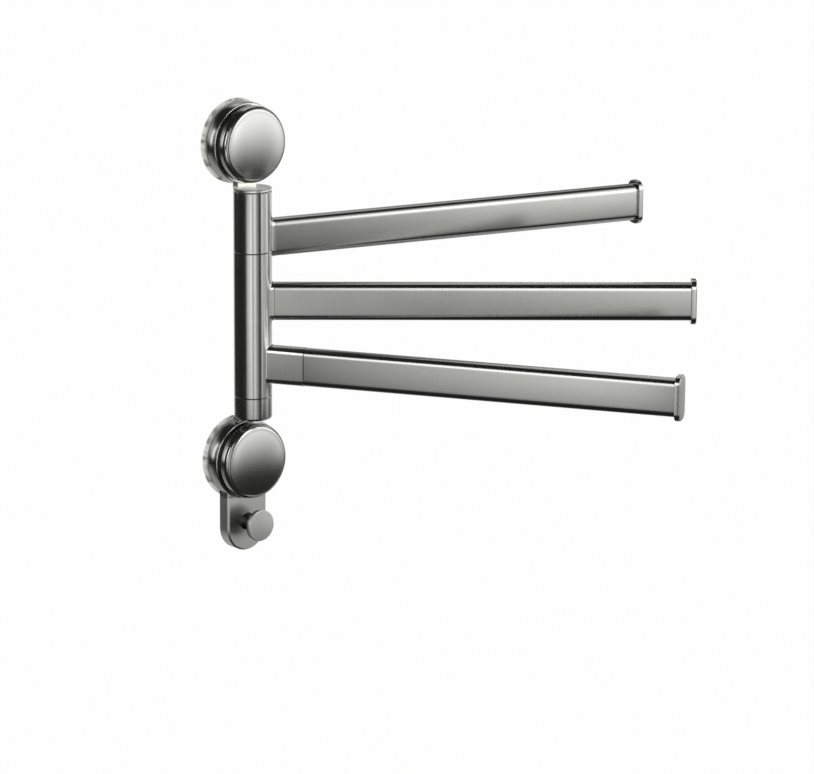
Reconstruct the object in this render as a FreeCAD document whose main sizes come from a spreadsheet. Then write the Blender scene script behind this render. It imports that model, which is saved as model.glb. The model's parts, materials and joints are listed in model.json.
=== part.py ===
import FreeCAD, Part
import math
import operator
import os

import Sketcher

# Swing arm towel bar: a round post between two twist-to-lock suction mounts, three tube arms
# that swing on the post, and a knob hook under the lower mount.
#
# World frame, millimetres: the wall is the plane y = 0 and the bar stands out of it along -y,
# +z is up, and the origin is the centre of the lower pad's wall face.
# A turned mount piece is drawn with its own z as the distance from the wall.
# An arm piece is drawn with its own x along the arm and z = 0 at the foot of its sleeve.

os.makedirs("parts", exist_ok=True)
doc = FreeCAD.newDocument("swing_arm_towel_bar")

# ---------------------------------------------------------------- driving dimensions

DRIVING = {
    # wall mounts
    "pad_lip": 1.5,
    "pad_rim": 1.0,
    "pad_shoulder": 0.5,
    "pad_thick": 3.0,
    "pad_boss_dia": 28.0,
    "pad_boss_height": 2.6,
    "dish_dia": 40.0,
    "dish_depth": 1.3,
    "stud_foot_dia": 22.0,
    "stud_foot_thick": 1.6,
    "stud_foot_height": 2.6,
    "stud_dia": 8.0,
    "stud_cover": 1.98,
    "stud_end_room": 0.5,
    "stud_clearance": 0.08,
    "pad_clearance": 0.05,
    "housing_lip": 1.5,
    "housing_front": 14.7,
    "housing_bevel": 2.4,
    "housing_round": 0.9,
    "boss_room": 1.0,
    "slip_ring_thick": 0.4,
    "slip_ring_inset": 3.0,
    "slip_ring_bore": 12.0,
    "cap_dia": 56.0,
    "groove_width": 3.3,
    "cap_height": 8.4,
    "cap_crown": 1.2,
    "cap_round": 3.0,
    "cap_lip": 0.4,
    "cap_wall": 1.45,
    "cap_face": 1.4,
    # necks that tie the mounts to the post
    "neck_width": 16.6,
    "neck_back": 8.4,
    "neck_step": 0.4,
    "neck_root": 24.0,
    "neck_into_collar": 5.0,
    # post
    "post_dia": 28.0,
    "post_axis": 20.5,
    "collar_gap": 4.4,
    "collar_length": 17.15,
    "collar_round": 2.2,
    "collar_floor": 3.6,
    "ear_thick": 1.6,
    "ear_gap": 3.4,
    "ear_edge": 0.3,
    "ear_boss_room": 0.25,
    "ear_boss_length": 9.0,
    "spindle_dia": 12.0,
    "spindle_end_dia": 8.0,
    "spindle_end_length": 7.5,
    "spindle_fit": 0.05,
    "seam_gap": 0.4,
    "hairline_gap": 0.1,
    "seam_bevel": 0.6,
    "washer_inset": 2.0,
    "washer_thick": 0.5,
    "flat_clearance": 0.02,
    "washer_room": 0.2,
    "spring_inset": 1.0,
    "spring_thick": 0.8,
    "spring_height": 1.2,
    # arm sleeves
    "low_sleeve_length": 53.45,
    "mid_sleeve_length": 53.5,
    "top_sleeve_length": 44.2,
    "low_arm_rise": 23.85,
    "mid_arm_rise": 16.35,
    "top_arm_rise": 8.5,
    "sleeve_bore": 20.0,
    "bush_length": 10.0,
    "press_clearance": 0.02,
    "root_round": 1.2,
    "root_stand": 1.4,
    "root_room": 0.3,
    "low_root_reach": 26.6,
    "spigot_length": 22.0,
    # arms
    "arm_height": 28.2,
    "arm_width": 13.0,
    "arm_round": 5.0,
    "arm_reach": 318.0,
    "tube_wall": 1.2,
    "tube_gap": 0.2,
    "tube_bevel": 0.3,
    "plug_clearance": 0.1,
    "end_plate_height": 33.0,
    "end_plate_width": 17.0,
    "end_plate_round": 6.5,
    "end_plate_thick": 4.0,
    "end_plate_edge": 0.8,
    "end_plug_length": 12.0,
    "low_arm_angle": 58.1,
    "mid_arm_angle": 38.9,
    "top_arm_angle": 12.9,
    # hook
    "tongue_width": 35.6,
    "tongue_stand": 0.3,
    "tongue_step": 1.2,
    "tongue_root": 20.0,
    "tongue_drop": 69.5,
    "tongue_bevel": 1.2,
    "tongue_wall": 3.0,
    "tongue_hollow": 6.2,
    "hook_drop": 47.6,
    "hook_front": 30.1,
    "hook_head_dia": 23.4,
    "hook_head_thick": 3.0,
    "hook_head_edge": 0.7,
    "hook_neck_dia": 9.0,
    "hook_foot_dia": 13.0,
    "hook_foot_flare": 2.0,
    "hook_head_flare": 2.6,
    "hook_boss_dia": 12.0,
    "hook_screw_dia": 4.0,
    "hook_screw_head_dia": 7.6,
    "hook_screw_head": 3.0,
    "hook_thread_depth": 9.0,
    "screw_clearance": 0.15,
    # grub screws
    "arm_grub_dia": 4.0,
    "arm_grub_length": 6.0,
    "collar_grub_dia": 5.0,
    "collar_grub_height": 10.0,
    "grub_sink": 0.3,
    "hex_share": 0.5,
}

sheet = doc.addObject("Spreadsheet::Sheet", "Sizes")
for row, (alias, value) in enumerate(DRIVING.items(), 1):
    sheet.set(f"A{row}", alias.replace("_", " "))
    sheet.set(f"B{row}", str(value))
    sheet.setAlias(f"B{row}", alias)
doc.recompute()

SIGNS = {"+": operator.add, "-": operator.sub, "*": operator.mul, "/": operator.truediv}


class Size:
    """A number that keeps the sheet expression it comes from."""

    def __init__(self, value, text):
        self.value = float(value)
        self.text = text

    def __add__(self, other):
        return combine(self, "+", other)

    def __radd__(self, other):
        return combine(other, "+", self)

    def __sub__(self, other):
        return combine(self, "-", other)

    def __rsub__(self, other):
        return combine(other, "-", self)

    def __mul__(self, other):
        return combine(self, "*", other)

    def __rmul__(self, other):
        return combine(other, "*", self)

    def __truediv__(self, other):
        return combine(self, "/", other)

    def __neg__(self):
        return combine(0, "-", self)


def as_size(number):
    return number if isinstance(number, Size) else Size(number, f"{float(number):.6g}")


def combine(left, sign, right):
    left = as_size(left)
    right = as_size(right)
    return Size(SIGNS[sign](left.value, right.value), f"({left.text} {sign} {right.text})")


class Sheet:
    """Reads one driving dimension by its name."""

    def __getattr__(self, alias):
        return Size(sheet.get(alias), f"Sizes.{alias}")


dim = Sheet()

# ---------------------------------------------------------------- drawing helpers


def bind(target, path, size):
    """Ties one property of an object to the sheet."""
    target.setExpression(path, as_size(size).text)


def new_body(label, spot=(0, 0, 0), axis=(0, 0, 1), angle=0):
    """A body whose origin stands at spot, turned by angle about axis."""
    body = doc.addObject("PartDesign::Body", label)
    body.Label = label
    turn = FreeCAD.Rotation(FreeCAD.Vector(*axis), as_size(angle).value)
    body.Placement = FreeCAD.Placement(FreeCAD.Vector(*(as_size(c).value for c in spot)), turn)
    for letter, coordinate in zip("xyz", spot):
        bind(body, f"Placement.Base.{letter}", coordinate)
    if isinstance(angle, Size):
        bind(body, "Placement.Rotation.Angle", angle)
    return body


def mount_body(label, height=0):
    """A body drawn with z as the distance from the wall, centred on a mount at this height."""
    return new_body(label, (0, 0, height), (1, 0, 0), 90)


def post_body(label, height):
    """A body on the post's axis."""
    return new_body(label, (0, -dim.post_axis, height))


def new_sketch(body, name, plane, offset=0):
    sketch = body.newObject("Sketcher::SketchObject", name)
    support = [item for item in body.Origin.OriginFeatures if item.Role == plane][0]
    sketch.AttachmentSupport = [(support, "")]
    sketch.MapMode = "FlatFace"
    bind(sketch, "AttachmentOffset.Base.z", offset)
    return sketch


def fix(sketch, kind, geometry, where, size):
    """Adds one driving constraint that follows the sheet."""
    size = as_size(size)
    if where is None:
        index = sketch.addConstraint(Sketcher.Constraint(kind, geometry, size.value))
    else:
        index = sketch.addConstraint(Sketcher.Constraint(kind, geometry, where, size.value))
    if "Sizes." in size.text:
        bind(sketch, f"Constraints[{index}]", size)


def arc_between(start, end, radius, turn):
    """The minor arc from start to end that turns left or right on its way."""
    chord = end - start
    side = FreeCAD.Vector(-chord.y, chord.x, 0) / chord.Length
    reach = math.sqrt(max(radius**2 - (chord.Length / 2) ** 2, 0))
    centre = (start + end) / 2 + side * (reach if turn == "left" else -reach)
    first, last = (start, end) if turn == "left" else (end, start)
    circle = Part.Circle(centre, FreeCAD.Vector(0, 0, 1), radius)
    angles = [math.atan2(point.y - centre.y, point.x - centre.x) for point in (first, last)]
    return Part.ArcOfCircle(circle, angles[0], angles[1])


def outline(sketch, points):
    """A closed outline of lines and arcs.

    A point is (x, y), or (x, y, radius, turn) where an arc leads to it from the point before.
    """
    spots = [FreeCAD.Vector(as_size(p[0]).value, as_size(p[1]).value, 0) for p in points]
    first = sketch.GeometryCount
    ends = []
    for index, start in enumerate(spots):
        target = points[(index + 1) % len(points)]
        end = spots[(index + 1) % len(points)]
        if len(target) == 2:
            sketch.addGeometry(Part.LineSegment(start, end))
            ends.append((1, 2))
        else:
            radius, turn = target[2:]
            sketch.addGeometry(arc_between(start, end, as_size(radius).value, turn))
            ends.append((1, 2) if turn == "left" else (2, 1))
    for index, (entry, leave) in enumerate(ends):
        following = (index + 1) % len(ends)
        sketch.addConstraint(
            Sketcher.Constraint("Coincident", first + index, leave, first + following, ends[following][0])
        )
        fix(sketch, "DistanceX", first + index, entry, points[index][0])
        fix(sketch, "DistanceY", first + index, entry, points[index][1])
        target = points[following]
        if len(target) > 2:
            fix(sketch, "Radius", first + index, None, target[2])


def circle(sketch, x, y, diameter):
    index = sketch.GeometryCount
    centre = FreeCAD.Vector(as_size(x).value, as_size(y).value, 0)
    sketch.addGeometry(Part.Circle(centre, FreeCAD.Vector(0, 0, 1), as_size(diameter).value / 2))
    fix(sketch, "DistanceX", index, 3, x)
    fix(sketch, "DistanceY", index, 3, y)
    fix(sketch, "Diameter", index, None, diameter)


def rounded_rectangle(sketch, width, height, radius, rise=0):
    """A rounded rectangle centred at (0, rise)."""
    side = width / 2
    low = rise - height / 2
    high = rise + height / 2
    outline(
        sketch,
        [
            (radius - side, low),
            (side - radius, low),
            (side, low + radius, radius, "left"),
            (side, high - radius),
            (side - radius, high, radius, "left"),
            (radius - side, high),
            (-side, high - radius, radius, "left"),
            (-side, low + radius),
            (radius - side, low, radius, "left"),
        ][1:],
    )


def volume(body):
    doc.recompute()
    return body.Shape.Volume if body.Tip else 0.0


def solid_step(body, kind, name, sketch, reverse, length):
    """Adds one sketch-based feature and checks that it changed the body the right way."""
    before = volume(body)
    step = body.newObject(f"PartDesign::{kind}", name)
    step.Profile = sketch
    step.Reversed = reverse
    if length is not None:
        bind(step, "Length", length)
    else:
        step.ReferenceAxis = (sketch, ["V_Axis"])
        step.Angle = 360
    sketch.Visibility = False
    change = volume(body) - before
    removes = kind in ("Pocket", "Groove")
    if (change > -1e-3) if removes else (change < 1e-3):
        raise RuntimeError(f"{body.Label}: {name} changed the volume by {change:.4f}")
    return step


def pad(body, name, sketch, length, reverse=False):
    return solid_step(body, "Pad", name, sketch, reverse, length)


def pocket(body, name, sketch, length, reverse=False):
    return solid_step(body, "Pocket", name, sketch, reverse, length)


def revolve(body, name, sketch):
    return solid_step(body, "Revolution", name, sketch, False, None)


def dress(body, kind, name, size, chosen):
    """Rounds or bevels the edges of the body that chosen picks."""
    doc.recompute()
    base = body.Tip
    names = [f"Edge{n}" for n, edge in enumerate(base.Shape.Edges, 1) if chosen(edge)]
    if not names:
        raise RuntimeError(f"{body.Label}: {name} finds no edge")
    step = body.newObject(f"PartDesign::{kind}", name)
    step.Base = (base, names)
    bind(step, "Radius" if kind == "Fillet" else "Size", size)
    doc.recompute()
    return step


def near(a, b):
    return abs(as_size(a).value - as_size(b).value) < 1e-4


def full_ring(radius, height, along="z"):
    """Picks the closed circular edges of this radius at this height."""

    def chosen(edge):
        curve = edge.Curve
        if not isinstance(curve, Part.Circle) or not edge.isClosed():
            return False
        return near(curve.Radius, radius) and near(getattr(curve.Center, along), height)

    return chosen


def in_plane(along, height):
    """Picks the edges that lie wholly in one plane across an axis."""

    def chosen(edge):
        box = edge.BoundBox
        low, high = (getattr(box, along.upper() + end) for end in ("Min", "Max"))
        return near(low, height) and near(high, height)

    return chosen


def turned(body, name, points):
    """A turned form: points are (radius, height) pairs."""
    sketch = new_sketch(body, name + "_profile", "XZ_Plane")
    outline(sketch, points)
    revolve(body, name, sketch)


def ring(body, name, bore, outside, thick):
    """A plain ring that stands on z = 0."""
    inner = bore / 2
    outer = outside / 2
    turned(body, name, [(inner, 0), (outer, 0), (outer, thick), (inner, thick)])


def round_hole(body, name, plane, offset, spot, diameter, depth, reverse=False):
    sketch = new_sketch(body, name + "_circle", plane, offset)
    circle(sketch, spot[0], spot[1], diameter)
    pocket(body, name, sketch, depth, reverse)


# ---------------------------------------------------------------- heights that follow from the sheet

housing_dia = dim.cap_dia + 2 * dim.housing_lip
pad_dia = housing_dia + 2 * dim.pad_lip
cap_back = dim.housing_front + dim.groove_width
cap_edge_front = cap_back + dim.cap_height
cap_side_front = cap_edge_front - dim.cap_round
core_back = dim.housing_front + dim.slip_ring_thick + dim.flat_clearance
core_front = cap_edge_front - dim.cap_face - dim.flat_clearance
core_dia = dim.cap_dia - 2 * dim.cap_wall - 2 * dim.press_clearance
stud_end = core_front - dim.stud_cover
neck_front = dim.housing_front - dim.neck_step
tongue_back = dim.pad_thick + dim.tongue_stand
tongue_front = dim.housing_front - dim.tongue_step

collar_foot = dim.cap_dia / 2 + dim.collar_gap
collar_top = collar_foot + dim.collar_length
low_sleeve_foot = collar_top + dim.seam_gap
mid_sleeve_foot = low_sleeve_foot + dim.low_sleeve_length + dim.hairline_gap
top_sleeve_foot = mid_sleeve_foot + dim.mid_sleeve_length + dim.seam_gap
ear_foot = top_sleeve_foot + dim.top_sleeve_length + dim.seam_gap
ear_top = ear_foot + dim.ear_thick
ear_boss_foot = ear_foot - dim.ear_boss_length
mount_spacing = ear_top + dim.ear_gap + dim.cap_dia / 2

seam_recess = dim.washer_thick + dim.flat_clearance - dim.seam_gap
hairline_recess = dim.washer_thick + dim.flat_clearance - dim.hairline_gap
collar_recess = seam_recess + dim.spring_height
spindle_hole = dim.spindle_dia + 2 * dim.spindle_fit
washer_dia = dim.post_dia - 2 * dim.washer_inset
washer_seat_dia = washer_dia + 2 * dim.washer_room
ear_boss_dia = dim.sleeve_bore - 2 * dim.ear_boss_room
root_block = dim.post_dia / 2 + dim.root_stand
low_root_block = dim.post_dia / 2 + dim.low_root_reach

spigot_width = dim.arm_width - 2 * dim.tube_wall - 2 * dim.plug_clearance
spigot_height = dim.arm_height - 2 * dim.tube_wall - 2 * dim.plug_clearance
spigot_round = dim.arm_round - dim.tube_wall - dim.plug_clearance


# ---------------------------------------------------------------- suction mounts


def suction_pad(label, height):
    """Soft pad: a dished wall side, a thin sealing rim and a boss that holds the stud's foot."""
    body = mount_body(label, height)
    boss_top = dim.pad_thick + dim.pad_boss_height
    foot_low = dim.stud_foot_height - dim.pad_clearance
    foot_high = dim.stud_foot_height + dim.stud_foot_thick + dim.pad_clearance
    foot_side = dim.stud_foot_dia / 2 + dim.pad_clearance
    shank_side = dim.stud_dia / 2 + dim.pad_clearance
    turned(
        body,
        "pad",
        [
            (0, dim.dish_depth),
            (dim.dish_dia / 2, 0),
            (pad_dia / 2, 0),
            (pad_dia / 2, dim.pad_rim),
            (housing_dia / 2 - dim.pad_shoulder, dim.pad_thick),
            (dim.pad_boss_dia / 2, dim.pad_thick),
            (dim.pad_boss_dia / 2, boss_top),
            (shank_side, boss_top),
            (shank_side, foot_high),
            (foot_side, foot_high),
            (foot_side, foot_low),
            (0, foot_low),
        ],
    )


def pull_stud(label, height):
    """Threaded stud whose foot is held in the pad."""
    body = mount_body(label, height)
    foot_top = dim.stud_foot_height + dim.stud_foot_thick
    tip = dim.stud_dia / 8
    turned(
        body,
        "stud",
        [
            (0, dim.stud_foot_height),
            (dim.stud_foot_dia / 2, dim.stud_foot_height),
            (dim.stud_foot_dia / 2, foot_top),
            (dim.stud_dia / 2, foot_top),
            (dim.stud_dia / 2, stud_end - tip),
            (dim.stud_dia / 2 - tip, stud_end),
            (0, stud_end),
        ],
    )


def slip_ring(label, height):
    """Low-friction ring between the housing and the turning cap."""
    body = mount_body(label, height)
    inner = dim.slip_ring_bore / 2
    outer = dim.cap_dia / 2 - dim.slip_ring_inset
    back = dim.housing_front
    front = back + dim.slip_ring_thick
    turned(body, "ring", [(inner, back), (outer, back), (outer, front), (inner, front)])


def cap_core(label, height):
    """Threaded moulding inside the cap; its rim shows as the dark groove behind the shell."""
    body = mount_body(label, height)
    thread_side = dim.stud_dia / 2 + dim.pad_clearance
    thread_end = stud_end + dim.stud_end_room
    turned(
        body,
        "core",
        [
            (thread_side, core_back),
            (core_dia / 2, core_back),
            (core_dia / 2, core_front),
            (0, core_front),
            (0, thread_end),
            (thread_side, thread_end),
        ],
    )


def cap_shell(label, height):
    """Pressed metal shell over the core, with a rounded edge and a crowned face."""
    body = mount_body(label, height)
    outer = dim.cap_dia / 2
    inner = outer - dim.cap_wall
    face = outer - dim.cap_round
    crown_radius = (face * face + dim.cap_crown * dim.cap_crown) / (2 * dim.cap_crown)
    floor = cap_edge_front - dim.cap_face
    turned(
        body,
        "shell",
        [
            (inner, cap_back),
            (outer - dim.cap_lip, cap_back),
            (outer, cap_back + dim.cap_lip),
            (outer, cap_side_front),
            (face, cap_edge_front, dim.cap_round, "left"),
            (0, cap_edge_front + dim.cap_crown, crown_radius, "left"),
            (0, floor),
            (inner, floor),
        ],
    )


def housing(body):
    """Round mount housing with a recess for the pad's boss and a bore for the stud."""
    outer = housing_dia / 2
    bore = dim.stud_dia / 2 + dim.stud_clearance
    recess = dim.pad_boss_dia / 2 + dim.boss_room
    recess_top = dim.pad_thick + dim.pad_boss_height + dim.boss_room
    turned(
        body,
        "housing",
        [
            (bore, recess_top),
            (recess, recess_top),
            (recess, dim.pad_thick),
            (outer - dim.housing_bevel, dim.pad_thick),
            (outer, dim.pad_thick + dim.housing_bevel),
            (outer, dim.housing_front - dim.housing_round),
            (outer - dim.housing_round, dim.housing_front, dim.housing_round, "left"),
            (bore, dim.housing_front),
        ],
    )


def neck(body, low, high):
    """Flat bar from the housing to the post, between two heights of the body's y."""
    sketch = new_sketch(body, "neck_outline", "XY_Plane", dim.neck_back)
    side = dim.neck_width / 2
    outline(sketch, [(-side, low), (side, low), (side, high), (-side, high)])
    pad(body, "neck", sketch, neck_front - dim.neck_back)


def post_disc(body, name, height, diameter, length, upward):
    """A disc on the post's axis, grown up or down from a height of the body's y."""
    sketch = new_sketch(body, name + "_circle", "XZ_Plane", -height)
    circle(sketch, 0, dim.post_axis, diameter)
    pad(body, name, sketch, length, reverse=upward)


def post_bore(body, name, height, diameter, depth, downward):
    """A round hole on the post's axis, cut down or up from a height of the body's y."""
    round_hole(body, name, "XZ_Plane", -height, (0, dim.post_axis), diameter, depth, downward)


def upper_bracket():
    """Housing, neck and the round ear that caps the post, in one casting."""
    body = mount_body("upper_bracket", mount_spacing)
    ear_high = ear_top - mount_spacing
    ear_low = ear_foot - mount_spacing
    post_disc(body, "ear", ear_high, dim.post_dia, dim.ear_thick, upward=False)
    dress(body, "Chamfer", "ear_bevel", dim.ear_edge, full_ring(dim.post_dia / 2, ear_high, "y"))
    neck(body, ear_low, -dim.neck_root)
    housing(body)
    post_disc(body, "ear_boss", ear_low, ear_boss_dia, dim.ear_boss_length, upward=False)
    thread = dim.spindle_end_dia + 2 * dim.spindle_fit
    depth = dim.spindle_end_length + dim.seam_gap
    post_bore(body, "ear_thread", ear_low - dim.ear_boss_length, thread, depth, downward=False)


def tongue_outline(sketch, inset, top):
    """The hook plate's outline, drawn in by an inset."""
    side = dim.tongue_width / 2 - inset
    centre = dim.tongue_width / 2 - dim.tongue_drop
    outline(
        sketch,
        [
            (-side, top),
            (-side, centre),
            (0, centre - side, side, "left"),
            (side, centre, side, "left"),
            (side, top),
        ],
    )


def on_tongue_rim(edge):
    """Picks the front rim of the hook plate below the housing."""
    box = edge.BoundBox
    flat = near(box.ZMin, tongue_front) and near(box.ZMax, tongue_front)
    straight = near(abs(box.XMin), dim.tongue_width / 2) and near(box.XMin, box.XMax)
    curve = edge.Curve
    bend = isinstance(curve, Part.Circle) and near(curve.Radius, dim.tongue_width / 2)
    return flat and (straight or bend)


def lower_bracket():
    """Housing, neck, the post's fixed collar and the hook plate, in one casting."""
    body = mount_body("lower_bracket")
    post_disc(body, "collar", collar_foot, dim.post_dia, dim.collar_length, upward=True)
    foot = full_ring(dim.post_dia / 2, collar_foot, "y")
    dress(body, "Fillet", "collar_foot_round", dim.collar_round, foot)
    head = full_ring(dim.post_dia / 2, collar_top, "y")
    dress(body, "Chamfer", "collar_bevel", dim.seam_bevel, head)
    neck(body, dim.neck_root, collar_foot + dim.neck_into_collar)
    housing(body)
    sketch = new_sketch(body, "tongue_outline", "XY_Plane", tongue_back)
    tongue_outline(sketch, 0, -dim.tongue_root)
    pad(body, "tongue", sketch, tongue_front - tongue_back)
    dress(body, "Chamfer", "tongue_bevel", dim.tongue_bevel, on_tongue_rim)
    sketch = new_sketch(body, "hollow_outline", "XY_Plane", tongue_back)
    hollow_top = -(housing_dia / 2 + dim.tongue_wall)
    tongue_outline(sketch, dim.tongue_wall, hollow_top)
    circle(sketch, 0, -dim.hook_drop, dim.hook_boss_dia)
    pocket(body, "hollow", sketch, dim.tongue_hollow, reverse=True)
    spot = (0, -dim.hook_drop)
    clear = dim.hook_screw_dia + 2 * dim.screw_clearance
    thick = tongue_front - tongue_back
    round_hole(body, "hook_hole", "XY_Plane", tongue_back, spot, clear, thick, reverse=True)
    seat = dim.hook_screw_head_dia + 2 * dim.screw_clearance
    depth = dim.hook_screw_head + dim.screw_clearance
    round_hole(body, "hook_seat", "XY_Plane", tongue_back, spot, seat, depth, reverse=True)
    post_bore(body, "washer_seat", collar_top, washer_seat_dia, collar_recess, downward=True)
    depth = dim.collar_length - dim.collar_floor
    post_bore(body, "spindle_seat", collar_top, spindle_hole, depth, downward=True)
    grub = dim.collar_grub_dia + 2 * dim.screw_clearance
    depth = dim.post_axis
    spot = (0, collar_foot + dim.collar_grub_height)
    round_hole(body, "grub_hole", "XY_Plane", 0, spot, grub, depth, reverse=True)


# ---------------------------------------------------------------- hook


def hook_knob():
    """Turned knob: a foot on the plate, a slim neck and a flat head."""
    body = mount_body("hook_knob", -dim.hook_drop)
    foot = tongue_front
    head_back = dim.hook_front - dim.hook_head_thick
    head = dim.hook_head_dia / 2
    slim = dim.hook_neck_dia / 2
    thread = dim.hook_screw_dia / 2 + dim.spindle_fit
    thread_end = foot + dim.hook_thread_depth
    turned(
        body,
        "knob",
        [
            (thread, foot),
            (dim.hook_foot_dia / 2, foot),
            (slim, foot + dim.hook_foot_flare),
            (slim, head_back - dim.hook_head_flare),
            (head - dim.hook_head_flare, head_back),
            (head, head_back),
            (head, dim.hook_front),
            (0, dim.hook_front),
            (0, thread_end),
            (thread, thread_end),
        ],
    )
    dress(body, "Fillet", "head_round", dim.hook_head_edge, full_ring(head, dim.hook_front))


def hook_screw():
    """Pan-head screw that holds the knob from behind the plate."""
    body = mount_body("hook_screw", -dim.hook_drop)
    under_head = tongue_back + dim.hook_screw_head + dim.screw_clearance
    head = dim.hook_screw_head_dia / 2
    head_back = under_head - dim.hook_screw_head
    end = tongue_front + dim.hook_thread_depth - 2 * dim.screw_clearance
    turned(
        body,
        "screw",
        [
            (0, head_back),
            (head, head_back),
            (head, under_head),
            (dim.hook_screw_dia / 2, under_head),
            (dim.hook_screw_dia / 2, end),
            (0, end),
        ],
    )
    hex_socket(body, head_back, dim.hook_screw_head_dia * dim.hex_share, dim.hook_screw_head / 2)


def hex_socket(body, height, across, depth, plane="XY_Plane", spot=(0, 0)):
    """A six-sided socket cut into a screw's head along its plane's normal."""
    sketch = new_sketch(body, "socket_outline", plane, height)
    corner = across / math.sqrt(3)
    half = corner / 2
    flat = across / 2
    shape = [(corner, 0), (half, flat), (-half, flat), (-corner, 0), (-half, -flat), (half, -flat)]
    outline(sketch, [(spot[0] + x, spot[1] + y) for x, y in shape])
    pocket(body, "socket", sketch, depth, reverse=True)


def grub_screw(body, diameter, length):
    """A headless screw along +z with its socket at z = 0."""
    turned(body, "shank", [(0, 0), (diameter / 2, 0), (diameter / 2, length), (0, length)])
    hex_socket(body, 0, diameter * dim.hex_share, length / 3)


# ---------------------------------------------------------------- post


def spindle():
    """Rod that joins the collar to the ear; its slimmer end is threaded into the ear's boss."""
    foot = collar_foot + dim.collar_floor
    body = post_body("spindle", foot)
    shoulder = ear_boss_foot - foot
    side = dim.spindle_dia / 2
    slim = dim.spindle_end_dia / 2
    end = shoulder + dim.spindle_end_length
    turned(body, "rod", [(0, 0), (side, 0), (side, shoulder), (slim, shoulder), (slim, end), (0, end)])


def spring_washer():
    """Conical spring washer that presses the stack of sleeves together."""
    body = post_body("spring_washer", collar_top - collar_recess)
    inner = spindle_hole / 2 + dim.washer_room
    outer = washer_dia / 2 - dim.spring_inset
    lift = dim.spring_height - dim.spring_thick
    thick = dim.spring_thick
    turned(body, "cone", [(inner, lift), (outer, 0), (outer, thick), (inner, lift + thick)])


def seam_washer(label, top, bore):
    """Thin washer in a seam of the post; its upper face is just under the piece above."""
    body = post_body(label, top - dim.flat_clearance - dim.washer_thick)
    ring(body, "washer", bore, washer_dia, dim.washer_thick)


def collar_grub():
    """Headless screw from the wall side that locks the spindle in the collar."""
    outside = dim.post_axis - dim.post_dia / 2
    height = collar_foot + dim.collar_grub_height
    body = new_body("collar_grub_screw", (0, -(outside + dim.grub_sink), height), (1, 0, 0), 90)
    wall = dim.post_dia / 2 - dim.spindle_dia / 2
    grub_screw(body, dim.collar_grub_dia, wall - dim.grub_sink)


# ---------------------------------------------------------------- swing arms


def arm_body(label, foot, angle):
    """A body on the post's axis with x along the arm."""
    return new_body(label, (0, -dim.post_axis, foot), (0, 0, -1), angle)


def sleeve(label, foot, angle, length, rise, block, recess, trimmed, bevelled):
    """Round sleeve with the arm's root block and the spigot that the tube is pushed on."""
    body = arm_body(label, foot, angle)
    sketch = new_sketch(body, "sleeve_circle", "XY_Plane")
    circle(sketch, 0, 0, dim.post_dia)
    pad(body, "sleeve", sketch, length)
    sketch = new_sketch(body, "block_outline", "YZ_Plane")
    rounded_rectangle(sketch, dim.arm_width, dim.arm_height, dim.arm_round, rise)
    pad(body, "root_block", sketch, block)
    dress(body, "Fillet", "root_round", dim.root_round, at_root(rise))
    sketch = new_sketch(body, "spigot_outline", "YZ_Plane", block)
    rounded_rectangle(sketch, spigot_width, spigot_height, spigot_round, rise)
    pad(body, "spigot", sketch, dim.spigot_length)
    if trimmed:
        sketch = new_sketch(body, "trim_circle", "XY_Plane")
        circle(sketch, 0, 0, dim.post_dia + 2 * dim.root_room)
        pocket(body, "foot_trim", sketch, dim.arm_height)
    if bevelled:
        rim = full_ring(dim.post_dia / 2, length)
        dress(body, "Chamfer", "seam_bevel", dim.seam_bevel, rim)
    round_hole(body, "bore", "XY_Plane", length, (0, 0), dim.sleeve_bore, length)
    round_hole(body, "washer_seat", "XY_Plane", length, (0, 0), washer_seat_dia, recess)
    grub = dim.arm_grub_dia + 2 * dim.press_clearance
    spot = (block + dim.spigot_length / 2, rise)
    depth = dim.arm_grub_length
    round_hole(body, "grub_hole", "XZ_Plane", -spigot_width / 2, spot, grub, depth, reverse=True)


def at_root(rise):
    """Picks the edges where a root block meets its round sleeve."""
    half = dim.arm_height.value / 2

    def chosen(edge):
        box = edge.BoundBox
        across = box.XMin > dim.arm_width.value / 2 and box.XMax < dim.post_dia.value / 2 + 1e-3
        upright = box.ZMin > rise.value - half - 1e-3 and box.ZMax < rise.value + half + 1e-3
        return across and upright

    return chosen


def bush(label, foot, angle):
    """Plain bearing pressed into a sleeve, running on the spindle."""
    body = arm_body(label, foot, angle)
    outside = dim.sleeve_bore - 2 * dim.press_clearance
    ring(body, "bush", spindle_hole, outside, dim.bush_length)


def arm_tube(label, foot, angle, rise, block):
    """Rounded rectangular tube that hangs the towel."""
    body = arm_body(label, foot, angle)
    start = block + dim.tube_gap
    length = dim.arm_reach - start
    sketch = new_sketch(body, "tube_outline", "YZ_Plane", start)
    rounded_rectangle(sketch, dim.arm_width, dim.arm_height, dim.arm_round, rise)
    pad(body, "tube", sketch, length)
    dress(body, "Chamfer", "tube_bevel", dim.tube_bevel, in_plane("x", start))
    sketch = new_sketch(body, "hollow_outline", "YZ_Plane", start)
    wall = 2 * dim.tube_wall
    inner_round = dim.arm_round - dim.tube_wall
    rounded_rectangle(sketch, dim.arm_width - wall, dim.arm_height - wall, inner_round, rise)
    pocket(body, "hollow", sketch, length, reverse=True)
    grub = dim.arm_grub_dia + 2 * dim.screw_clearance
    spot = (block + dim.spigot_length / 2, rise)
    depth = 2 * dim.tube_wall
    round_hole(body, "grub_hole", "XZ_Plane", -dim.arm_width / 2, spot, grub, depth, reverse=True)


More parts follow.
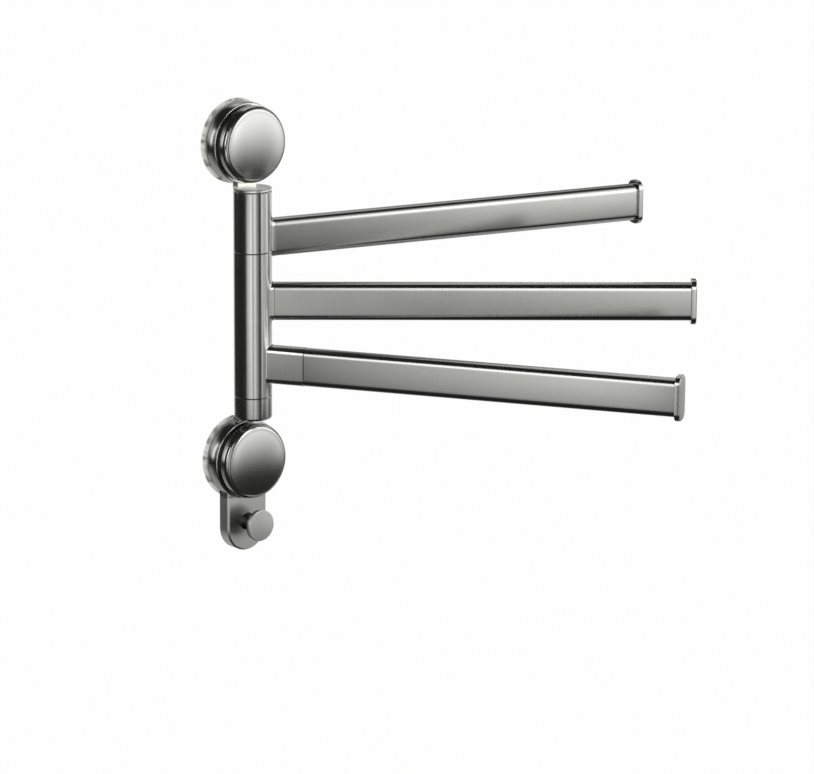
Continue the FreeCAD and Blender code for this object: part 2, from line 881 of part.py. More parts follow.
def end_cap(label, foot, angle, rise):
    """Plate that closes the tube, with a plug inside it."""
    body = arm_body(label, foot, angle)
    sketch = new_sketch(body, "plate_outline", "YZ_Plane", dim.arm_reach)
    width, height = dim.end_plate_width, dim.end_plate_height
    rounded_rectangle(sketch, width, height, dim.end_plate_round, rise)
    pad(body, "plate", sketch, dim.end_plate_thick)
    rim = in_plane("x", dim.arm_reach + dim.end_plate_thick)
    dress(body, "Fillet", "plate_round", dim.end_plate_edge, rim)
    dress(body, "Fillet", "plate_back_round", dim.end_plate_edge / 2, in_plane("x", dim.arm_reach))
    sketch = new_sketch(body, "plug_outline", "YZ_Plane", dim.arm_reach)
    rounded_rectangle(sketch, spigot_width, spigot_height, spigot_round, rise)
    pad(body, "plug", sketch, dim.end_plug_length, reverse=True)


def arm_grub(label, foot, angle, rise, block):
    """Headless screw on the wall side of the arm that locks the tube on its spigot."""
    body = arm_body(label, foot, angle)
    back = dim.grub_sink - dim.arm_width / 2
    spot = (block + dim.spigot_length / 2, rise)
    sketch = new_sketch(body, "shank_circle", "XZ_Plane", back)
    circle(sketch, spot[0], spot[1], dim.arm_grub_dia)
    pad(body, "shank", sketch, dim.arm_grub_length)
    across = dim.arm_grub_dia * dim.hex_share
    hex_socket(body, back, across, dim.arm_grub_length / 3, "XZ_Plane", spot)


def swing_arm(name, foot, angle, length, rise, block, recess, trimmed, bevelled, bush_drop):
    """All pieces of one arm."""
    sleeve(f"{name}_sleeve", foot, angle, length, rise, block, recess, trimmed, bevelled)
    bush(f"{name}_lower_bush", foot, angle)
    bush(f"{name}_upper_bush", foot + length - bush_drop - dim.bush_length, angle)
    arm_tube(f"{name}_tube", foot, angle, rise, block)
    end_cap(f"{name}_end_cap", foot, angle, rise)
    arm_grub(f"{name}_grub_screw", foot, angle, rise, block)


# ---------------------------------------------------------------- the assembly

for side, height in (("lower", as_size(0)), ("upper", mount_spacing)):
    suction_pad(f"{side}_pad", height)
    pull_stud(f"{side}_stud", height)
    slip_ring(f"{side}_slip_ring", height)
    cap_core(f"{side}_cap_core", height)
    cap_shell(f"{side}_cap_shell", height)
print("mounts", flush=True)
upper_bracket()
print("upper bracket", flush=True)
lower_bracket()
print("lower bracket", flush=True)
hook_knob()
hook_screw()
print("hook", flush=True)
spindle()
spring_washer()
collar_grub()
seam_washer("collar_seam_washer", low_sleeve_foot, spindle_hole)
seam_washer("low_seam_washer", mid_sleeve_foot, spindle_hole)
seam_washer("mid_seam_washer", top_sleeve_foot, spindle_hole)
seam_washer("ear_seam_washer", ear_foot, dim.sleeve_bore)
print("post", flush=True)

swing_arm(
    "low_arm",
    low_sleeve_foot,
    dim.low_arm_angle,
    dim.low_sleeve_length,
    dim.low_arm_rise,
    low_root_block,
    hairline_recess,
    trimmed=False,
    bevelled=False,
    bush_drop=hairline_recess,
)
print("lower arm", flush=True)
swing_arm(
    "mid_arm",
    mid_sleeve_foot,
    dim.mid_arm_angle,
    dim.mid_sleeve_length,
    dim.mid_arm_rise,
    root_block,
    seam_recess,
    trimmed=False,
    bevelled=True,
    bush_drop=seam_recess,
)
print("middle arm", flush=True)
swing_arm(
    "top_arm",
    top_sleeve_foot,
    dim.top_arm_angle,
    dim.top_sleeve_length,
    dim.top_arm_rise,
    root_block,
    seam_recess,
    trimmed=True,
    bevelled=True,
    bush_drop=dim.ear_boss_length,
)
print("top arm", flush=True)

# ---------------------------------------------------------------- checks and export

doc.recompute()
for item in doc.Objects:
    if "Invalid" in item.State or "Error" in item.State:
        raise RuntimeError(f"{item.Label} is {item.State}")

bodies = [item for item in doc.Objects if item.TypeId == "PartDesign::Body"]
for body in bodies:
    shape = body.Shape
    if shape.isNull() or not shape.isValid() or len(shape.Solids) != 1:
        raise RuntimeError(f"{body.Label} isn't one valid solid")
    print(f"{body.Label:24s} {shape.Volume:10.1f} mm3")

for body in bodies:
    body.Shape.exportStep(os.path.join("parts", f"{body.Label}.step"))
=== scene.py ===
"""Swing arm towel bar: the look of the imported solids, its stage and its camera."""

import json
import math

import bmesh
import bpy
from bpy.props import FloatProperty, FloatVectorProperty, IntProperty, PointerProperty
from mathutils import Matrix, Vector


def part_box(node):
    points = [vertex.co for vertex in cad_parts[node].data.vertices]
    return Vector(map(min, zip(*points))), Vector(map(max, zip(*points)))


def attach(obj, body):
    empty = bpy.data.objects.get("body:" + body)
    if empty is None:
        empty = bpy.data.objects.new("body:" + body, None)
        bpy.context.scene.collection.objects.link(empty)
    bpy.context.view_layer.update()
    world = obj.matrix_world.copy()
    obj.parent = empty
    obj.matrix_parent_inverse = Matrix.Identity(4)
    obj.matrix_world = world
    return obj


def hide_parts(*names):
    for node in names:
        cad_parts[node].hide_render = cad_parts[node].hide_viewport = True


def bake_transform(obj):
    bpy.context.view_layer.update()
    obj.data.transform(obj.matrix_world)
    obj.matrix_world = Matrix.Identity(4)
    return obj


bl_info = {
    "name": "Swing arm towel bar",
    "version": (1, 0, 0),
    "blender": (4, 5, 0),
    "location": "3D View > Sidebar > Towel Bar",
    "description": "Dresses the solids of a swing arm towel bar and lights them",
    "category": "Object",
}

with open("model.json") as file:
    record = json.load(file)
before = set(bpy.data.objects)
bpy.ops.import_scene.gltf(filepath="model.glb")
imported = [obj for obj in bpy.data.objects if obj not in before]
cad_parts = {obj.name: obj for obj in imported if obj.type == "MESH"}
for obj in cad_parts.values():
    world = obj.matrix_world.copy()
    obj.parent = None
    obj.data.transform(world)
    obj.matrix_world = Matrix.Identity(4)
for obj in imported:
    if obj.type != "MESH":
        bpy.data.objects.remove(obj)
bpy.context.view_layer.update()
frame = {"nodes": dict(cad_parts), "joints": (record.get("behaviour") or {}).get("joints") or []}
MM = 0.001
ARMS = ("low_arm", "mid_arm", "top_arm")
SIDES = ("lower", "upper")
SMOOTH_BELOW = math.radians(32)
MERGE = 2e-6
NEAR_WALL = 0.02 * MM

# Fixed sizes of the turned pieces. The cap's wall is that of its skirt, and its face's thickness
# and its edge's depth are measured from the rim of the crowned face.
PAD_EDGE_ROUND = 0.35 * MM
PAD_SHOULDER_ROUND = 0.4 * MM
CAP_WALL = 1.45 * MM
CAP_FACE = 1.4 * MM
CAP_BACK_ROUND = 0.45 * MM
CAP_EDGE_DEPTH = 5 * MM

# How finely the curved lines are divided.
ROUND_STEPS = 7
CAP_EDGE_STEPS = 12
CAP_FACE_STEPS = 14
TUBE_SIDE_STEPS = 8
TUBE_CORNER_STEPS = 9
BELLY_BANDS = 10

# Where the finishes change: how far the clear rim reaches into a pad, how far behind the knob's
# front the painted shade of its neck gives way to its face and where the face is full, how far
# inside the housing's radius the hook plate turns matt and is painted paler as painted light, and
# half the height over which it does.
RIM_BAND = 4 * MM
KNOB_SHADE_FADE = (3 * MM, 1 * MM)
PAINTED_LIGHT_INSET = 2 * MM
PAINTED_LIGHT_BAND = 1 * MM


# ---------------------------------------------------------------- node wiring


class Reading:
    """An output socket that can be used in Python arithmetic."""

    def __init__(self, wires, socket):
        self.wires = wires
        self.socket = socket

    def math(self, operation, *others):
        values = dict(enumerate((self, *others)))
        return self.wires.add("ShaderNodeMath", {"operation": operation}, values)

    def __add__(self, other):
        return self.math("ADD", other)

    __radd__ = __add__

    def __sub__(self, other):
        return self.math("SUBTRACT", other)

    def __rsub__(self, other):
        values = {0: other, 1: self}
        return self.wires.add("ShaderNodeMath", {"operation": "SUBTRACT"}, values)

    def __mul__(self, other):
        return self.math("MULTIPLY", other)

    __rmul__ = __mul__

    def __truediv__(self, other):
        return self.math("DIVIDE", other)

    def __pow__(self, other):
        return self.math("POWER", other)

    def clamped(self):
        return self.wires.add("ShaderNodeClamp", {}, {"Value": self})

    def output(self, name):
        """Another output of the same node."""
        return Reading(self.wires, self.socket.node.outputs[name])


class Wires:
    """A node tree, in which add is the one method that makes nodes."""

    def __init__(self, tree):
        self.tree = tree
        tree.nodes.clear()

    def add(self, kind, settings=None, sockets=None, out=0):
        node = self.tree.nodes.new(kind)
        for name, value in (settings or {}).items():
            setattr(node, name, value)
        for name, value in (sockets or {}).items():
            if isinstance(value, Reading):
                self.tree.links.new(value.socket, node.inputs[name])
            else:
                node.inputs[name].default_value = value
        return Reading(self, node.outputs[out]) if len(node.outputs) else node

    def blend(self, factor, first, second):
        """A colour between two colours."""
        settings = {"data_type": "RGBA"}
        return self.add("ShaderNodeMix", settings, {"Factor": factor, 6: first, 7: second}, out=2)

    def object_place(self):
        return self.add("ShaderNodeTexCoord", out="Object")

    def own_place(self):
        """The place in the piece's own frame, which own_attribute stores."""
        return self.add("ShaderNodeAttribute", {"attribute_name": "own"}, out="Vector")

    def parts(self, vector):
        """The three numbers of a vector."""
        first = self.add("ShaderNodeSeparateXYZ", {}, {"Vector": vector})
        return first, first.output("Y"), first.output("Z")

    def noise(self, place, scale, detail, **more):
        """Noise between 0 and 1; the scale is in cells for each metre."""
        sockets = {"Vector": place, "Scale": scale, "Detail": detail, **more}
        return self.add("ShaderNodeTexNoise", {}, sockets)

    def bump(self, height, strength, distance):
        sockets = {"Strength": strength, "Distance": distance, "Height": height}
        return self.add("ShaderNodeBump", {}, sockets)

    def smooth_step(self, value, start, end, first=0.0, last=1.0):
        """Goes smoothly from a first to a last level as a value goes from start to end."""
        sockets = {
            "Value": value, "From Min": start, "From Max": end, "To Min": first, "To Max": last,
        }
        return self.add("ShaderNodeMapRange", {"interpolation_type": "SMOOTHSTEP"}, sockets)


# ---------------------------------------------------------------- finishes


BLACK = (0.0, 0.0, 0.0, 1.0)
WHITE = (1.0, 1.0, 1.0, 1.0)


def new_material(name):
    """A material with an empty node tree."""
    material = bpy.data.materials.new(name)
    material.use_nodes = True
    return material, Wires(material.node_tree)


def surface(wires, shader):
    """Ends a material in its output."""
    wires.add("ShaderNodeOutputMaterial", {}, {"Surface": shader})


def principled(wires, sockets):
    """Ends a material in the shader that all the finishes use."""
    surface(wires, wires.add("ShaderNodeBsdfPrincipled", {}, sockets))


def toned(colour, factor=1.0):
    """An opaque colour, made lighter or darker."""
    return (*[min(channel * factor, 1.0) for channel in colour[:3]], 1.0)


def brushed_metal(name, tone, roughness, stretch, own=True, matt_and_painted_light_below=None):
    """Satin metal with fine grain drawn along the piece, matt and painted paler as painted light
    below a height.
    """
    material, wires = new_material(name)
    place = wires.own_place() if own else wires.object_place()
    drawn = wires.add("ShaderNodeMapping", {}, {"Vector": place, "Scale": stretch})
    lines = wires.noise(drawn, scale=1.0, detail=5.0, Roughness=0.65)
    speckle = wires.noise(place, scale=2600.0, detail=2.0)
    clouds = wires.noise(place, scale=38.0, detail=3.0)
    grain = (0.5 * lines + 0.25 * speckle + 0.25 * clouds).clamped()
    shade = wires.blend(grain, toned(tone, 0.95), toned(tone, 1.05))
    rough = roughness + (lines - 0.5) * 0.05 + (clouds - 0.5) * 0.04
    # Below the height the metal turns matt, and its colour is painted paler as painted light.
    if matt_and_painted_light_below is not None:
        _, height, _ = wires.parts(place)
        matt = wires.smooth_step(height, matt_and_painted_light_below + PAINTED_LIGHT_BAND, matt_and_painted_light_below - PAINTED_LIGHT_BAND)
        shade = wires.blend(matt, shade, toned(tone, 1.5))
        rough = rough + matt * 0.12
    principled(wires, {
        "Base Color": shade,
        "Metallic": 1.0,
        "Roughness": rough.clamped(),
        "Normal": wires.bump(lines + 0.4 * speckle, strength=0.12, distance=0.01 * MM),
    })
    return material


def moulded(name, tone, roughness):
    """Moulded plastic with a fine spark-eroded texture."""
    material, wires = new_material(name)
    place = wires.object_place()
    pits = wires.noise(place, scale=1800.0, detail=3.0)
    clouds = wires.noise(place, scale=60.0, detail=2.0)
    principled(wires, {
        "Base Color": wires.blend(clouds, toned(tone, 0.88), toned(tone, 1.12)),
        "Roughness": (roughness + (pits - 0.5) * 0.2).clamped(),
        "Normal": wires.bump(pits, strength=0.3, distance=0.03 * MM),
    })
    return material


def soft_rubber(name, clear, deep, roughness, reach):
    """Translucent soft rubber, darker towards its middle and mottled at its rim, where its pale
    patches are painted highlights.
    """
    material, wires = new_material(name)
    place = wires.own_place()
    across, upward, _ = wires.parts(place)
    rim = wires.smooth_step((across * across + upward * upward) ** 0.5, *reach)
    clouds = wires.noise(place, scale=120.0, detail=4.0, Distortion=0.6)
    fine = wires.noise(place, scale=900.0, detail=2.0)
    painted_highlight_patches = wires.smooth_step(clouds, 0.38, 0.6)
    # At the rim the patches swing the colour between pale and dark; the pale patches are painted
    # highlights.
    share = 0.42 + 0.2 * rim + (painted_highlight_patches - 0.5) * (0.08 + rim * 0.75)
    principled(wires, {
        "Base Color": wires.blend(share.clamped(), toned(deep), toned(clear)),
        "Roughness": (roughness + (clouds - 0.5) * 0.15).clamped(),
        "Coat Weight": painted_highlight_patches * 0.6,
        "Coat Roughness": 0.08,
        "Subsurface Weight": 0.3,
        "Subsurface Radius": (3 * MM, 2.8 * MM, 2.4 * MM),
        "Subsurface Scale": 1.0,
        "IOR": 1.45,
        "Normal": wires.bump(clouds + fine * 0.1, strength=0.35, distance=0.2 * MM),
    })
    return material


def neck_shaded_metal(name, face, painted_neck_shade, roughness, levels):
    """Satin metal whose neck and back are painted almost black as painted shade, lighter on its
    face.
    """
    material, wires = new_material(name)
    place = wires.own_place()
    _, _, outward_place = wires.parts(place)
    # Painted shade: the neck and back get the dark tone, and the hook plate reflects it as a dark
    # patch; the face tone takes over near the front.
    front = wires.smooth_step(outward_place, *levels)
    speckle = wires.noise(place, scale=2600.0, detail=2.0)
    clouds = wires.noise(place, scale=160.0, detail=3.0)
    shade = wires.blend(front, painted_neck_shade, face)
    principled(wires, {
        "Base Color": wires.blend(0.12 * clouds, shade, BLACK),
        "Metallic": 1.0,
        "Roughness": (roughness + (clouds - 0.5) * 0.08).clamped(),
        "Normal": wires.bump(speckle, strength=0.15, distance=0.01 * MM),
    })
    return material


# ---------------------------------------------------------------- places and meshes


def mount_place(side):
    """Local z is the distance from the wall, local y is up."""
    low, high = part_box(f"{side}_stud")
    middle = (low.z + high.z) / 2
    return Matrix.Translation((0, 0, middle)) @ Matrix.Rotation(math.pi / 2, 4, "X")


def arm_angle(arm):
    """How far an arm stands from the wall at rest, from its joint's lower limit."""
    joint = next(joint for joint in frame["joints"] if joint["name"] == f"{arm}_swing")
    return math.radians(-joint["range_deg"][0])


def arm_place(arm):
    """Local x runs along the arm, local z is up, and the origin is on the post's axis."""
    low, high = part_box(f"{arm}_lower_bush")
    axis = (low + high) / 2
    turn = Matrix.Rotation(-arm_angle(arm), 4, "Z")
    return Matrix.Translation((axis.x, axis.y, low.z)) @ turn


def own_attribute(mesh, place):
    """Stores each vertex in the piece's own frame, for the grain."""
    inverse = place.inverted()
    values = [c for vertex in mesh.vertices for c in inverse @ vertex.co]
    attribute = mesh.attributes.new("own", "FLOAT_VECTOR", "POINT")
    attribute.data.foreach_set("vector", values)


def finish_mesh(mesh):
    """Smooth shading with sharp edges where the surface really turns."""
    mesh.shade_smooth()
    mesh.set_sharp_from_angle(angle=SMOOTH_BELOW)


def show(name, mesh, material, place, body, node):
    """Adds a finished piece in the row's frame that stands for a solid and rides its body."""
    mesh.transform(place)
    own_attribute(mesh, place)
    finish_mesh(mesh)
    mesh.name = name
    mesh.materials.clear()
    mesh.materials.append(material)
    piece = bpy.data.objects.new(name, mesh)
    bpy.context.scene.collection.objects.link(piece)
    if body:
        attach(piece, body)
    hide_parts(node)
    return piece


def bellied(mesh, radius, low, high, belly):
    """Gives the round wall of a mesh a slight belly between two heights."""
    work = bmesh.new()
    work.from_mesh(mesh)
    for band in range(1, BELLY_BANDS):
        level = low + (high - low) * band / BELLY_BANDS
        every = work.verts[:] + work.edges[:] + work.faces[:]
        bmesh.ops.bisect_plane(
            work, geom=every, dist=1e-7, plane_co=(0, 0, level), plane_no=(0, 0, 1)
        )
    for vertex in work.verts:
        out = math.hypot(vertex.co.x, vertex.co.y)
        if abs(out - radius) < NEAR_WALL and low < vertex.co.z < high:
            share = (2 * vertex.co.z - low - high) / (high - low)
            vertex.co.xy *= 1 + belly * (1 - share**2) / out
    work.to_mesh(mesh)
    work.free()


def skin(name, node, material, place, body, shape=None):
    """A joined and smoothed copy of a solid's mesh, shaped in its own frame if asked."""
    mesh = frame["nodes"][node].data.copy()
    if "custom_normal" in mesh.attributes:
        mesh.attributes.remove(mesh.attributes["custom_normal"])
    work = bmesh.new()
    work.from_mesh(mesh)
    bmesh.ops.remove_doubles(work, verts=work.verts, dist=MERGE)
    bmesh.ops.dissolve_degenerate(work, edges=work.edges, dist=MERGE)
    work.to_mesh(mesh)
    work.free()
    mesh.transform(place.inverted())
    if shape:
        shape(mesh)
    return show(name, mesh, material, place, body, node)


def rounded(points, closed=False):
    """A chain of (r, z) points in metres; a third number rounds that corner."""
    chain = []
    count = len(points)
    for index, point in enumerate(points):
        here = Vector(point[:2])
        radius = point[2] if len(point) > 2 else 0
        inside = closed or 0 < index < count - 1
        if not radius or not inside:
            chain.append(here)
            continue
        before = (Vector(points[index - 1][:2]) - here).normalized()
        after = (Vector(points[(index + 1) % count][:2]) - here).normalized()
        half = before.angle(after) / 2
        reach = radius / math.tan(half)
        centre = here + (before + after).normalized() * (radius / math.sin(half))
        start = here + before * reach - centre
        end = here + after * reach - centre
        sweep = start.angle_signed(end)
        for step in range(ROUND_STEPS + 1):
            chain.append(centre + Matrix.Rotation(-sweep * step / ROUND_STEPS, 2) @ start)
    return chain


# ---------------------------------------------------------------- geometry trees


def new_tree(name, inputs):
    """A geometry tree with named inputs."""
    tree = bpy.data.node_groups.new(name, "GeometryNodeTree")
    tree.interface.new_socket(name="Geometry", in_out="OUTPUT", socket_type="NodeSocketGeometry")
    tree.interface.new_socket(name="Geometry", in_out="INPUT", socket_type="NodeSocketGeometry")
    for label, kind in inputs:
        tree.interface.new_socket(name=label, in_out="INPUT", socket_type=kind)
    wires = Wires(tree)
    source = wires.add("NodeGroupInput").socket.node
    reads = {socket.name: Reading(wires, socket) for socket in source.outputs if socket.name}
    return tree, wires, reads


def close_tree(wires, geometry, material):
    """Ends a tree with real geometry that has its material."""
    real = wires.add("GeometryNodeRealizeInstances", {}, {"Geometry": geometry})
    done = wires.add("GeometryNodeSetMaterial", {}, {"Geometry": real, "Material": material})
    wires.add("NodeGroupOutput", {}, {"Geometry": done})


def turned_tree():
    """Turns the profile in the mesh round the z axis."""
    inputs = [("Segments", "NodeSocketInt"), ("Material", "NodeSocketMaterial")]
    tree, wires, reads = new_tree("Turned piece", inputs)
    hub = 1 * MM
    profile = wires.add("GeometryNodeMeshToCurve", {}, {"Mesh": reads["Geometry"]})
    moved = wires.add(
        "GeometryNodeTransform", {}, {"Geometry": profile, "Translation": (-hub, 0, 0)}
    )
    path = wires.add(
        "GeometryNodeCurvePrimitiveCircle", {}, {"Resolution": reads["Segments"], "Radius": hub}
    )
    swept = wires.add("GeometryNodeCurveToMesh", {}, {"Curve": path, "Profile Curve": moved})
    merged = wires.add(
        "GeometryNodeMergeByDistance", {}, {"Geometry": swept, "Distance": MERGE}
    )
    close_tree(wires, merged, reads["Material"])
    return tree


def drawn_tree():
    """Draws the section in the mesh along x, with a small bevel at its first end.

    The path has three stations: its start, the end of the bevel, and its end.
    """
    inputs = [
        ("Start", "NodeSocketFloat"),
        ("End", "NodeSocketFloat"),
        ("Bevel", "NodeSocketFloat"),
        ("Rise", "NodeSocketFloat"),
        ("Width", "NodeSocketFloat"),
        ("Material", "NodeSocketMaterial"),
    ]
    tree, wires, reads = new_tree("Drawn tube", inputs)
    section = wires.add("GeometryNodeMeshToCurve", {}, {"Mesh": reads["Geometry"]})
    station = wires.add("GeometryNodeInputIndex")
    past_first = station.math("GREATER_THAN", 0.5)
    past_second = station.math("GREATER_THAN", 1.5)
    along = reads["Start"] + reads["Bevel"] * past_first
    along = along + (reads["End"] - reads["Start"] - reads["Bevel"]) * past_second
    spot = wires.add("ShaderNodeCombineXYZ", {}, {"X": along, "Z": reads["Rise"]})
    line = wires.add("GeometryNodeMeshLine", {}, {"Count": 3})
    set_out = wires.add("GeometryNodeSetPosition", {}, {"Geometry": line, "Position": spot})
    path = wires.add("GeometryNodeMeshToCurve", {}, {"Mesh": set_out})
    upright = wires.add("GeometryNodeSetCurveNormal", {"mode": "Z_UP"}, {"Curve": path})
    taper = 1 - (1 - past_first) * (reads["Bevel"] * 2 / reads["Width"])
    swept = wires.add(
        "GeometryNodeCurveToMesh",
        {},
        {"Curve": upright, "Profile Curve": section, "Scale": taper},
    )
    close_tree(wires, swept, reads["Material"])
    return tree


def realised(name, mesh, tree, values):
    """The plain mesh that a geometry tree makes of a mesh."""
    helper = bpy.data.objects.new(name, mesh)
    bpy.context.scene.collection.objects.link(helper)
    modifier = helper.modifiers.new(tree.name, "NODES")
    modifier.node_group = tree
    for item in tree.interface.items_tree:
        if item.in_out == "INPUT" and item.name in values:
            modifier[item.identifier] = values[item.name]
    graph = bpy.context.evaluated_depsgraph_get()
    result = bpy.data.meshes.new_from_object(helper.evaluated_get(graph))
    helper.modifiers.remove(modifier)
    bpy.data.objects.remove(helper)
    return result


def loop_mesh(name, points):
    """A closed chain of edges in the xy plane for a geometry tree."""
    loop = bpy.data.meshes.new(name)
    edges = [(index, (index + 1) % len(points)) for index in range(len(points))]
    loop.from_pydata([(*point, 0) for point in points], edges, [])
    return loop


def turned_mesh(name, profile, material, segments):
    """A turned mesh from a closed line of (r, z) points."""
    loop = loop_mesh(name, [(point[0], -point[1]) for point in profile])
    values = {"Segments": segments, "Material": material}
    mesh = realised(name, loop, trees["turned"], values)
    bpy.data.meshes.remove(loop)
    outward(mesh)
    return mesh


def crowned_section(width, height, corner, crown):
    """A rounded rectangle with slightly crowned tall sides, tangent at its corners."""
    half = height / 2 - corner
    slope = math.atan2(2 * crown, half)
    quarter = []
    for step in range(TUBE_SIDE_STEPS):
        level = half * step / TUBE_SIDE_STEPS
        quarter.append((width / 2 - crown * (level / half) ** 2, level))
    centre = (width / 2 - crown - corner * math.cos(slope), half - corner * math.sin(slope))
    for step in range(TUBE_CORNER_STEPS + 1):
        turn = slope + (math.pi / 2 - slope) * step / TUBE_CORNER_STEPS
        quarter.append((centre[0] + corner * math.cos(turn), centre[1] + corner * math.sin(turn)))
    return section_loop(quarter)


def section_loop(quarter):
    """The whole loop from its first quarter, which starts on the x axis."""
    top = quarter + [(-x, y) for x, y in reversed(quarter)]
    bottom = [(x, -y) for x, y in reversed(top[1:-1])]
    return top + bottom


def walled(mesh, thickness):
    """Gives an open shell a wall on its inner side."""
    helper = bpy.data.objects.new("wall", mesh)
    bpy.context.scene.collection.objects.link(helper)
    modifier = helper.modifiers.new("Wall", "SOLIDIFY")
    modifier.thickness = thickness
    modifier.offset = -1
    modifier.use_even_offset = True
    graph = bpy.context.evaluated_depsgraph_get()
    result = bpy.data.meshes.new_from_object(helper.evaluated_get(graph))
    bpy.data.objects.remove(helper)
    return result


def outward(mesh):
    """Joins doubles and turns the faces outwards."""
    work = bmesh.new()
    work.from_mesh(mesh)
    bmesh.ops.remove_doubles(work, verts=work.verts, dist=MERGE)
    bmesh.ops.recalc_face_normals(work, faces=work.faces)
    work.to_mesh(mesh)
    work.free()


trees = {}
finishes = {}


# ---------------------------------------------------------------- settings


class BarSizes(bpy.types.PropertyGroup):
    """Sizes of the pieces that are made here."""

    pad_rim: FloatProperty(
        name="Pad rim", description="Thickness at a pad's edge", default=1 * MM, unit="LENGTH"
    )
    pad_thick: FloatProperty(
        name="Pad thickness", description="Thickness under a housing", default=3 * MM,
        unit="LENGTH",
    )
    pad_shoulder: FloatProperty(
        name="Pad shoulder", description="Where its bevel ends", default=29 * MM, unit="LENGTH"
    )
    dish_radius: FloatProperty(
        name="Dish radius", description="Hollow of the wall side", default=20 * MM, unit="LENGTH"
    )
    dish_depth: FloatProperty(
        name="Dish depth", description="Depth of that hollow", default=1.3 * MM, unit="LENGTH"
    )
    boss_radius: FloatProperty(
        name="Boss radius", description="Raised middle of a pad", default=14 * MM, unit="LENGTH"
    )
    foot_room: FloatProperty(
        name="Foot room", description="Pocket of a stud's foot", default=11.05 * MM, unit="LENGTH"
    )
    foot_bottom: FloatProperty(
        name="Foot bottom", description="Height of that pocket", default=2.55 * MM, unit="LENGTH"
    )
    foot_top: FloatProperty(
        name="Foot top", description="Top of that pocket", default=4.25 * MM, unit="LENGTH"
    )
    shank_room: FloatProperty(
        name="Shank room", description="Hole for a stud's shank", default=4.05 * MM, unit="LENGTH"
    )
    housing_radius: FloatProperty(
        name="Housing radius", description="Outside of a housing", default=29.5 * MM, unit="LENGTH"
    )
    housing_back: FloatProperty(
        name="Housing back", description="Where its wall starts", default=5.4 * MM, unit="LENGTH"
    )
    housing_front: FloatProperty(
        name="Housing front", description="Where its wall ends", default=13.8 * MM, unit="LENGTH"
    )
    housing_belly: FloatProperty(
        name="Housing belly", description="Swell of its wall", default=0.3 * MM, unit="LENGTH"
    )
    cap_radius: FloatProperty(
        name="Cap radius", description="Outside of the cap", default=28 * MM, unit="LENGTH"
    )
    cap_crown: FloatProperty(
        name="Cap crown", description="Rise of the cap's face", default=2.0 * MM, unit="LENGTH"
    )
    cap_round: FloatProperty(
        name="Cap edge", description="Rounding of the cap's edge", default=4 * MM, unit="LENGTH"
    )
    tube_width: FloatProperty(
        name="Tube width", description="Thickness of an arm", default=13 * MM, unit="LENGTH"
    )
    tube_height: FloatProperty(
        name="Tube height", description="Height of an arm", default=28.2 * MM, unit="LENGTH"
    )
    tube_corner: FloatProperty(
        name="Tube corner", description="Rounding along an arm", default=5 * MM, unit="LENGTH"
    )
    tube_wall: FloatProperty(
        name="Tube wall", description="Wall of an arm's tube", default=1.2 * MM, unit="LENGTH"
    )
    tube_crown: FloatProperty(
        name="Tube crown", description="Rise of an arm's tall sides", default=0.2 * MM,
        unit="LENGTH",
    )
    tube_bevel: FloatProperty(
        name="Tube bevel", description="Edge of a tube's first end", default=0.3 * MM,
        unit="LENGTH",
    )
    seam_bevel: FloatProperty(
        name="Seam bevel", description="The same on the low arm", default=0.6 * MM, unit="LENGTH"
    )
    segments: IntProperty(
        name="Segments", description="Facets round a turned piece", default=160, min=24, max=256
    )


class BarFinish(bpy.types.PropertyGroup):
    """Colours and roughness of the finishes."""

    metal: FloatVectorProperty(
        name="Metal", description="Tone of the satin metal", default=(0.56, 0.565, 0.538),
        subtype="COLOR",
    )
    post_tone: FloatProperty(name="Post tone", description="Lightness of the post", default=1.07)
    arm_tone: FloatProperty(name="Arm tone", description="Lightness of the arms", default=0.84)
    cap_tone: FloatProperty(name="Cap tone", description="Lightness of the caps", default=0.92)
    post_roughness: FloatProperty(
        name="Post roughness", description="Gloss of post and mounts", default=0.19,
        subtype="FACTOR",
    )
    arm_roughness: FloatProperty(
        name="Arm roughness", description="Gloss of the arms", default=0.21, subtype="FACTOR"
    )
    cap_roughness: FloatProperty(
        name="Cap roughness", description="Gloss of the caps", default=0.2, subtype="FACTOR"
    )
    rubber: FloatVectorProperty(
        name="Rubber", description="Tone of the pads' rim", default=(0.78, 0.78, 0.73),
        subtype="COLOR",
    )
    rubber_deep: FloatVectorProperty(
        name="Deep rubber", description="Tone of the pads' thick part", default=(0.11, 0.1, 0.075),
        subtype="COLOR",
    )
    knob_tone: FloatProperty(name="Knob tone", description="Lightness of the knob", default=1.3)
    knob_roughness: FloatProperty(
        name="Knob roughness", description="Gloss of the knob", default=0.4, subtype="FACTOR"
    )
    dark: FloatVectorProperty(
        name="Dark plastic", description="Tone of the cap cores", default=(0.012, 0.012, 0.013),
        subtype="COLOR",
    )
    pale: FloatVectorProperty(
        name="Pale plastic", description="Tone of the bearings", default=(0.75, 0.75, 0.72),
        subtype="COLOR",
    )
    steel: FloatVectorProperty(
        name="Steel", description="Tone of screws and studs", default=(0.55, 0.55, 0.55),
        subtype="COLOR",
    )


